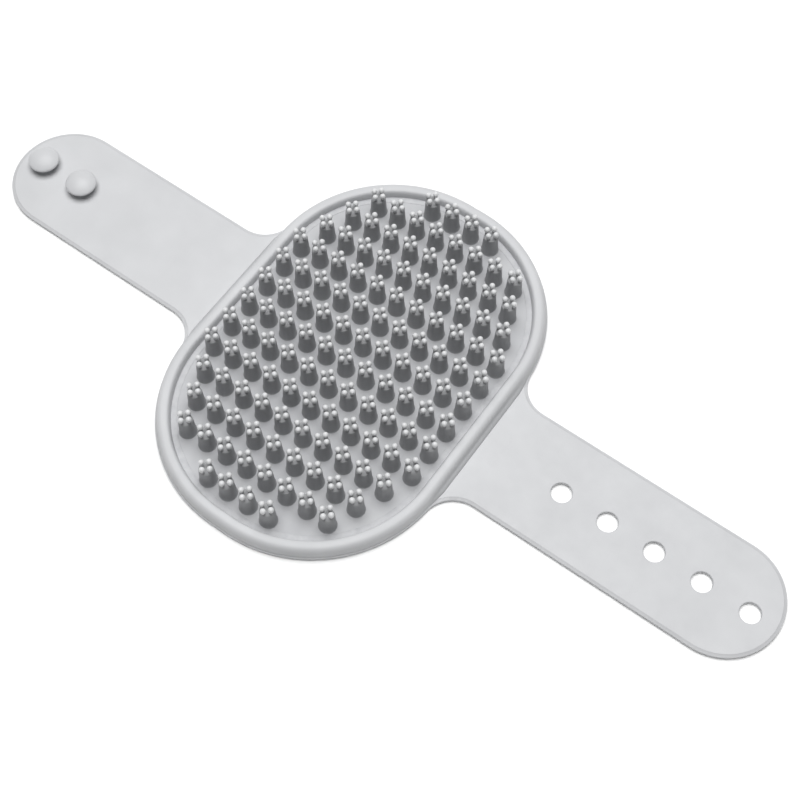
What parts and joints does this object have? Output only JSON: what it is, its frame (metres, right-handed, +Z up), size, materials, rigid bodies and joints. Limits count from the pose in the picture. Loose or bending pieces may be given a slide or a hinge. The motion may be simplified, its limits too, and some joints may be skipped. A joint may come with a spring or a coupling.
{
  "type": "strap-on pet grooming brush",
  "caption": "Silicone palm brush for pet grooming: an oblong pad of ball-tipped bristles with a rolled rim, and two straps that bend round the hand and fasten with studs in holes.",
  "frame": {"origin": "centre of the pad's palm side (its flat back)", "axes": "+X along the straps towards the hole strap's tip, +Y along the pad, +Z up, the way the bristles point"},
  "size_m": [0.2433, 0.1166, 0.011],
  "materials": {
    "glove_body": "matt moulded silicone, light grey",
    "brush_mat": "matt moulded silicone, light grey",
    "bristles": "satin moulded silicone, light grey",
    "studs": "satin moulded silicone, light grey",
    "adhesive": "semi-gloss silicone adhesive, grey"
  },
  "bodies": {
    "palm": {"palm_sheet": "glove_body", "rim_bead": "glove_body", "bond_bead": "adhesive", "brush_mat": "brush_mat", "bristle_row_01": "bristles", "bristle_row_02": "bristles", "bristle_row_03": "bristles", "bristle_row_04": "bristles", "bristle_row_05": "bristles", "bristle_row_06": "bristles", "bristle_row_07": "bristles", "bristle_row_08": "bristles", "bristle_row_09": "bristles", "bristle_row_10": "bristles", "bristle_row_11": "bristles", "bristle_row_12": "bristles", "bristle_row_13": "bristles", "bristle_row_14": "bristles"},
    "stud_strap_01": {"stud_strap_01": "glove_body"},
    "stud_strap_02": {"stud_strap_02": "glove_body"},
    "stud_strap_03": {"stud_strap_03": "glove_body"},
    "stud_strap_04": {"stud_strap_04": "glove_body"},
    "stud_strap_05": {"stud_strap_05": "glove_body"},
    "stud_strap_06": {"stud_strap_06": "glove_body", "stud_inner": "studs", "stud_outer": "studs"},
    "hole_strap_01": {"hole_strap_01": "glove_body"},
    "hole_strap_02": {"hole_strap_02": "glove_body"},
    "hole_strap_03": {"hole_strap_03": "glove_body"},
    "hole_strap_04": {"hole_strap_04": "glove_body"},
    "hole_strap_05": {"hole_strap_05": "glove_body"},
    "hole_strap_06": {"hole_strap_06": "glove_body"}
  },
  "joints": [
    {"name": "stud_strap_bend_01", "type": "hinge", "parent": "palm", "child": "stud_strap_01", "pos_m": [-0.043, 0, 0.0006], "axis": [0, -1, 0], "range_deg": [-12, 49], "stiffness_Nm_per_rad": 0.002},
    {"name": "stud_strap_bend_02", "type": "hinge", "parent": "stud_strap_01", "child": "stud_strap_02", "pos_m": [-0.0489, 0, 0.0006], "axis": [0, -1, 0], "range_deg": [-8.32, 33.96], "stiffness_Nm_per_rad": 0.002},
    {"name": "stud_strap_bend_03", "type": "hinge", "parent": "stud_strap_02", "child": "stud_strap_03", "pos_m": [-0.0544, 0, 0.0006], "axis": [0, -1, 0], "range_deg": [-7.4, 30.23], "stiffness_Nm_per_rad": 0.002},
    {"name": "stud_strap_bend_04", "type": "hinge", "parent": "stud_strap_03", "child": "stud_strap_04", "pos_m": [-0.0612, 0, 0.0006], "axis": [0, -1, 0], "range_deg": [-6.47, 26.41], "stiffness_Nm_per_rad": 0.002},
    {"name": "stud_strap_bend_05", "type": "hinge", "parent": "stud_strap_04", "child": "stud_strap_05", "pos_m": [-0.067, 0, 0.0006], "axis": [0, -1, 0], "range_deg": [-5.47, 22.34], "stiffness_Nm_per_rad": 0.002},
    {"name": "stud_strap_bend_06", "type": "hinge", "parent": "stud_strap_05", "child": "stud_strap_06", "pos_m": [-0.075, 0, 0.0006], "axis": [0, -1, 0], "range_deg": [-4.42, 18.03], "stiffness_Nm_per_rad": 0.002},
    {"name": "hole_strap_bend_01", "type": "hinge", "parent": "palm", "child": "hole_strap_01", "pos_m": [0.043, 0, 0.0006], "axis": [0, 1, 0], "range_deg": [-12, 49], "stiffness_Nm_per_rad": 0.002},
    {"name": "hole_strap_bend_02", "type": "hinge", "parent": "hole_strap_01", "child": "hole_strap_02", "pos_m": [0.0492, 0, 0.0006], "axis": [0, 1, 0], "range_deg": [-9.88, 40.33], "stiffness_Nm_per_rad": 0.002},
    {"name": "hole_strap_bend_03", "type": "hinge", "parent": "hole_strap_02", "child": "hole_strap_03", "pos_m": [0.0547, 0, 0.0006], "axis": [0, 1, 0], "range_deg": [-8.11, 33.12], "stiffness_Nm_per_rad": 0.002},
    {"name": "hole_strap_bend_04", "type": "hinge", "parent": "hole_strap_03", "child": "hole_strap_04", "pos_m": [0.0613, 0, 0.0006], "axis": [0, 1, 0], "range_deg": [-6.38, 26.07], "stiffness_Nm_per_rad": 0.002},
    {"name": "hole_strap_bend_05", "type": "hinge", "parent": "hole_strap_04", "child": "hole_strap_05", "pos_m": [0.0711, 0, 0.0006], "axis": [0, 1, 0], "range_deg": [-4.69, 19.16], "stiffness_Nm_per_rad": 0.002},
    {"name": "hole_strap_bend_06", "type": "hinge", "parent": "hole_strap_05", "child": "hole_strap_06", "pos_m": [0.0855, 0, 0.0006], "axis": [0, 1, 0], "range_deg": [-3.02, 12.35], "stiffness_Nm_per_rad": 0.002}
  ],
  "couplings": [
    {"joint": "stud_strap_bend_02", "follows": "stud_strap_bend_01", "ratio": 0.693},
    {"joint": "stud_strap_bend_03", "follows": "stud_strap_bend_01", "ratio": 0.617},
    {"joint": "stud_strap_bend_04", "follows": "stud_strap_bend_01", "ratio": 0.539},
    {"joint": "stud_strap_bend_05", "follows": "stud_strap_bend_01", "ratio": 0.456},
    {"joint": "stud_strap_bend_06", "follows": "stud_strap_bend_01", "ratio": 0.368},
    {"joint": "hole_strap_bend_02", "follows": "hole_strap_bend_01", "ratio": 0.823},
    {"joint": "hole_strap_bend_03", "follows": "hole_strap_bend_01", "ratio": 0.676},
    {"joint": "hole_strap_bend_04", "follows": "hole_strap_bend_01", "ratio": 0.532},
    {"joint": "hole_strap_bend_05", "follows": "hole_strap_bend_01", "ratio": 0.391},
    {"joint": "hole_strap_bend_06", "follows": "hole_strap_bend_01", "ratio": 0.252}
  ]
}
